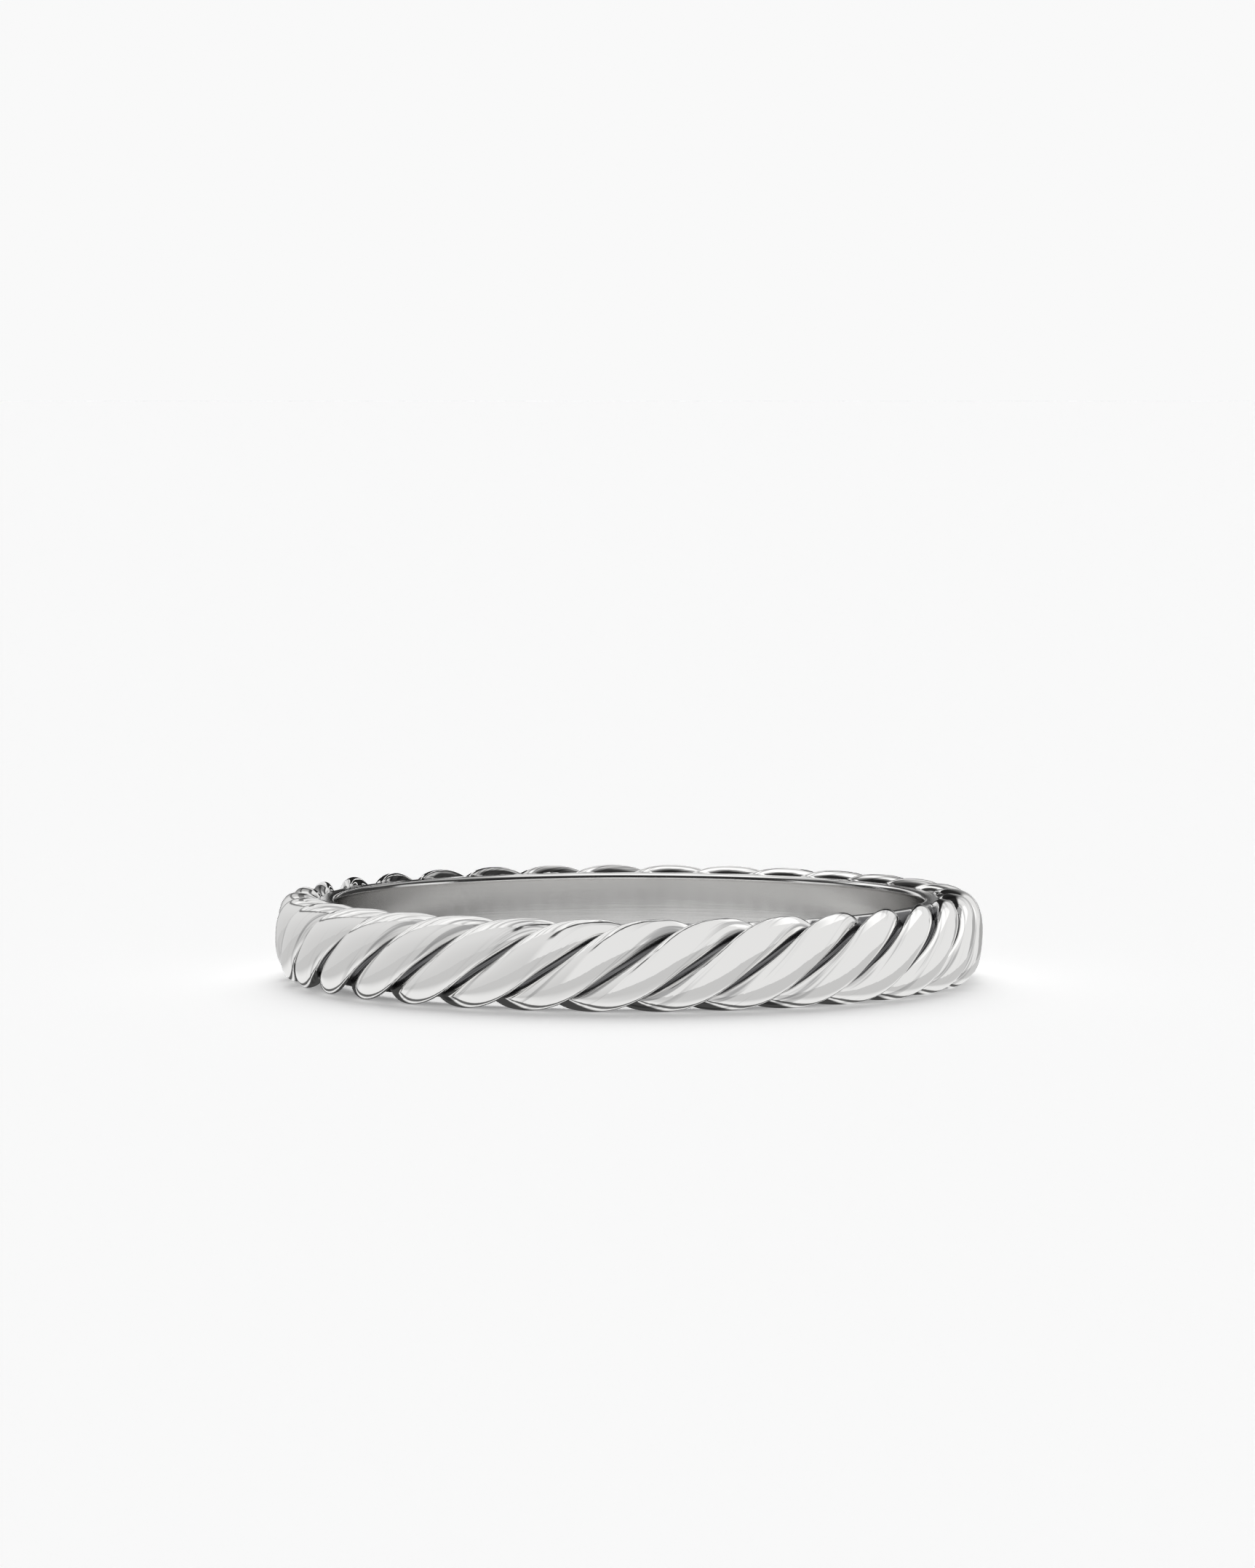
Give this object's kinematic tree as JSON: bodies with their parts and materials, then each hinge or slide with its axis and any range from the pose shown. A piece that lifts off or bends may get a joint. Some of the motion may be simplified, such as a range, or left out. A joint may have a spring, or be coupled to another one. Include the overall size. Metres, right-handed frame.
{
  "type": "rope twist ring",
  "caption": "Finger ring cast in one piece: a silver rope twist with dark grooves around a smooth, rounded lining.",
  "frame": {"origin": "on the ring's axis, in the plane of its lowest crests, which is the surface that it lies on", "axes": "+Z along the ring's axis, up from the surface; -Y towards the camera of the reference view"},
  "size_m": [0.0208, 0.0208, 0.0026],
  "materials": {
    "silver": "polished silver, with dark oxide left in the grooves between the strands"
  },
  "bodies": {
    "root": {"twist_band": "silver"}
  },
  "joints": []
}
